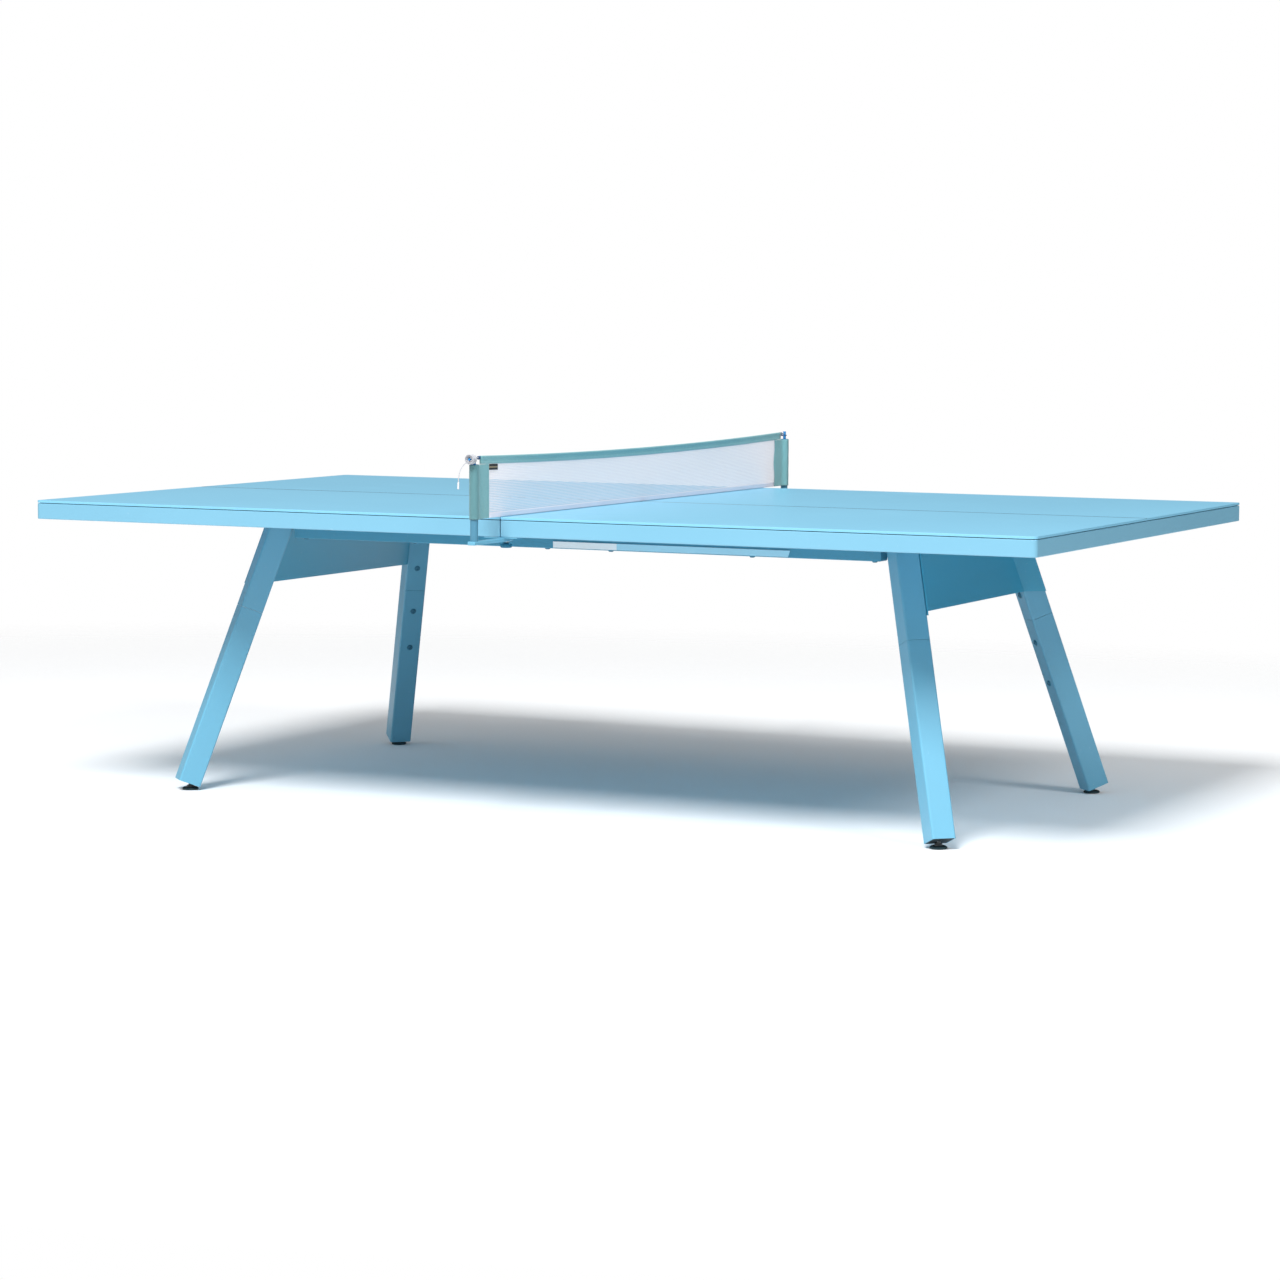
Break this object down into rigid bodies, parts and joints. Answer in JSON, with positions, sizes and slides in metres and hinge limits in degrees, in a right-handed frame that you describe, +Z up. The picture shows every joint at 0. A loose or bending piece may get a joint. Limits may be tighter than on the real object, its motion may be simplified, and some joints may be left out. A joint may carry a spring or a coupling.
{
  "type": "ping pong table",
  "caption": "Static ping pong table: rimmed flat top in halves on splayed square legs with end panels, levelling feet, and a net clamped across the middle",
  "frame": {"origin": "on the floor under the middle of the table", "axes": "X along the table (its long side), Y across it with the near side at -Y, Z up"},
  "size_m": [2.74, 1.8722, 0.9174],
  "materials": {
    "playing_surface": "satin painted laminate",
    "frame_paint": "satin powder coat",
    "seal_tape": "matte",
    "foot_rubber": "matte",
    "bright_zinc": "zinc plated",
    "black_plastic": "moulded",
    "plate_print": "satin, blank",
    "post_paint": "satin powder coat",
    "knob_plastic": "moulded, fine grain",
    "rod_plastic": "moulded",
    "net_mesh_yarn": "knotless mesh",
    "net_tape": "woven coated tape",
    "hem_tape": "woven tape",
    "white_cord": "braided",
    "cord_end_plastic": "moulded"
  },
  "bodies": {
    "table": {"battens_left": "frame_paint", "battens_right": "frame_paint", "beam_bolts": "bright_zinc", "beam_caps": "black_plastic", "beam_far": "frame_paint", "beam_near": "frame_paint", "bearer_left": "frame_paint", "bearer_right": "frame_paint", "board_gaskets": "seal_tape", "board_left": "playing_surface", "board_right": "playing_surface", "clamp_plates": "bright_zinc", "cord_end": "cord_end_plastic", "cord_hank": "white_cord", "cord_tail": "white_cord", "end_panel_left": "frame_paint", "end_panel_right": "frame_paint", "foot_plugs": "black_plastic", "leg_bolts": "bright_zinc", "leg_joiners": "bright_zinc", "lower_leg_far_left": "frame_paint", "lower_leg_far_right": "frame_paint", "lower_leg_near_left": "frame_paint", "lower_leg_near_right": "frame_paint", "name_plate": "plate_print", "net_arm_far": "post_paint", "net_arm_near": "post_paint", "net_band": "net_tape", "net_cord": "white_cord", "net_hem": "hem_tape", "net_mesh": "net_mesh_yarn", "net_post_far": "post_paint", "net_post_near": "post_paint", "net_sleeve_far": "net_tape", "net_sleeve_near": "net_tape", "post_rods": "rod_plastic", "rail_left_end": "frame_paint", "rail_left_far": "frame_paint", "rail_left_middle": "frame_paint", "rail_left_near": "frame_paint", "rail_right_end": "frame_paint", "rail_right_far": "frame_paint", "rail_right_middle": "frame_paint", "rail_right_near": "frame_paint", "upper_leg_far_left": "frame_paint", "upper_leg_far_right": "frame_paint", "upper_leg_near_left": "frame_paint", "upper_leg_near_right": "frame_paint"},
    "foot_near_left": {"foot_pad_near_left": "foot_rubber"},
    "stem_near_left": {"foot_stem_near_left": "bright_zinc"},
    "foot_near_right": {"foot_pad_near_right": "foot_rubber"},
    "stem_near_right": {"foot_stem_near_right": "bright_zinc"},
    "foot_far_left": {"foot_pad_far_left": "foot_rubber"},
    "stem_far_left": {"foot_stem_far_left": "bright_zinc"},
    "foot_far_right": {"foot_pad_far_right": "foot_rubber"},
    "stem_far_right": {"foot_stem_far_right": "bright_zinc"},
    "washer_near": {"clamp_washer_near": "bright_zinc"},
    "knob_near": {"clamp_knob_near": "knob_plastic"},
    "washer_far": {"clamp_washer_far": "bright_zinc"},
    "knob_far": {"clamp_knob_far": "knob_plastic"}
  },
  "joints": [
    {"name": "foot_travel_near_left", "type": "slide", "parent": "table", "child": "foot_near_left", "axis": [0, 0, -1], "range_m": [0, 0.0095]},
    {"name": "foot_turn_near_left", "type": "hinge", "parent": "foot_near_left", "child": "stem_near_left", "pos_m": [-1.053, -0.535, 0.007], "axis": [0, 0, -1], "range_deg": [0, 2160]},
    {"name": "foot_travel_near_right", "type": "slide", "parent": "table", "child": "foot_near_right", "axis": [0, 0, -1], "range_m": [0, 0.0095]},
    {"name": "foot_turn_near_right", "type": "hinge", "parent": "foot_near_right", "child": "stem_near_right", "pos_m": [1.053, -0.535, 0.007], "axis": [0, 0, -1], "range_deg": [0, 2160]},
    {"name": "foot_travel_far_left", "type": "slide", "parent": "table", "child": "foot_far_left", "axis": [0, 0, -1], "range_m": [0, 0.0095]},
    {"name": "foot_turn_far_left", "type": "hinge", "parent": "foot_far_left", "child": "stem_far_left", "pos_m": [-1.053, 0.535, 0.007], "axis": [0, 0, -1], "range_deg": [0, 2160]},
    {"name": "foot_travel_far_right", "type": "slide", "parent": "table", "child": "foot_far_right", "axis": [0, 0, -1], "range_m": [0, 0.0095]},
    {"name": "foot_turn_far_right", "type": "hinge", "parent": "foot_far_right", "child": "stem_far_right", "pos_m": [1.053, 0.535, 0.007], "axis": [0, 0, -1], "range_deg": [0, 2160]},
    {"name": "clamp_travel_near", "type": "slide", "parent": "table", "child": "washer_near", "axis": [0, 0, -1], "range_m": [0, 0.008]},
    {"name": "clamp_turn_near", "type": "hinge", "parent": "washer_near", "child": "knob_near", "pos_m": [0, -0.733, 0.7], "axis": [0, 0, -1], "range_deg": [0, 2160]},
    {"name": "clamp_travel_far", "type": "slide", "parent": "table", "child": "washer_far", "axis": [0, 0, -1], "range_m": [0, 0.008]},
    {"name": "clamp_turn_far", "type": "hinge", "parent": "washer_far", "child": "knob_far", "pos_m": [0, 0.733, 0.7], "axis": [0, 0, -1], "range_deg": [0, 2160]}
  ],
  "couplings": [
    {"joint": "foot_travel_near_left", "follows": "foot_turn_near_left", "m_per_rad": 0.00023873},
    {"joint": "foot_travel_near_right", "follows": "foot_turn_near_right", "m_per_rad": 0.00023873},
    {"joint": "foot_travel_far_left", "follows": "foot_turn_far_left", "m_per_rad": 0.00023873},
    {"joint": "foot_travel_far_right", "follows": "foot_turn_far_right", "m_per_rad": 0.00023873},
    {"joint": "clamp_travel_near", "follows": "clamp_turn_near", "m_per_rad": 0.00019894},
    {"joint": "clamp_travel_far", "follows": "clamp_turn_far", "m_per_rad": 0.00019894}
  ]
}
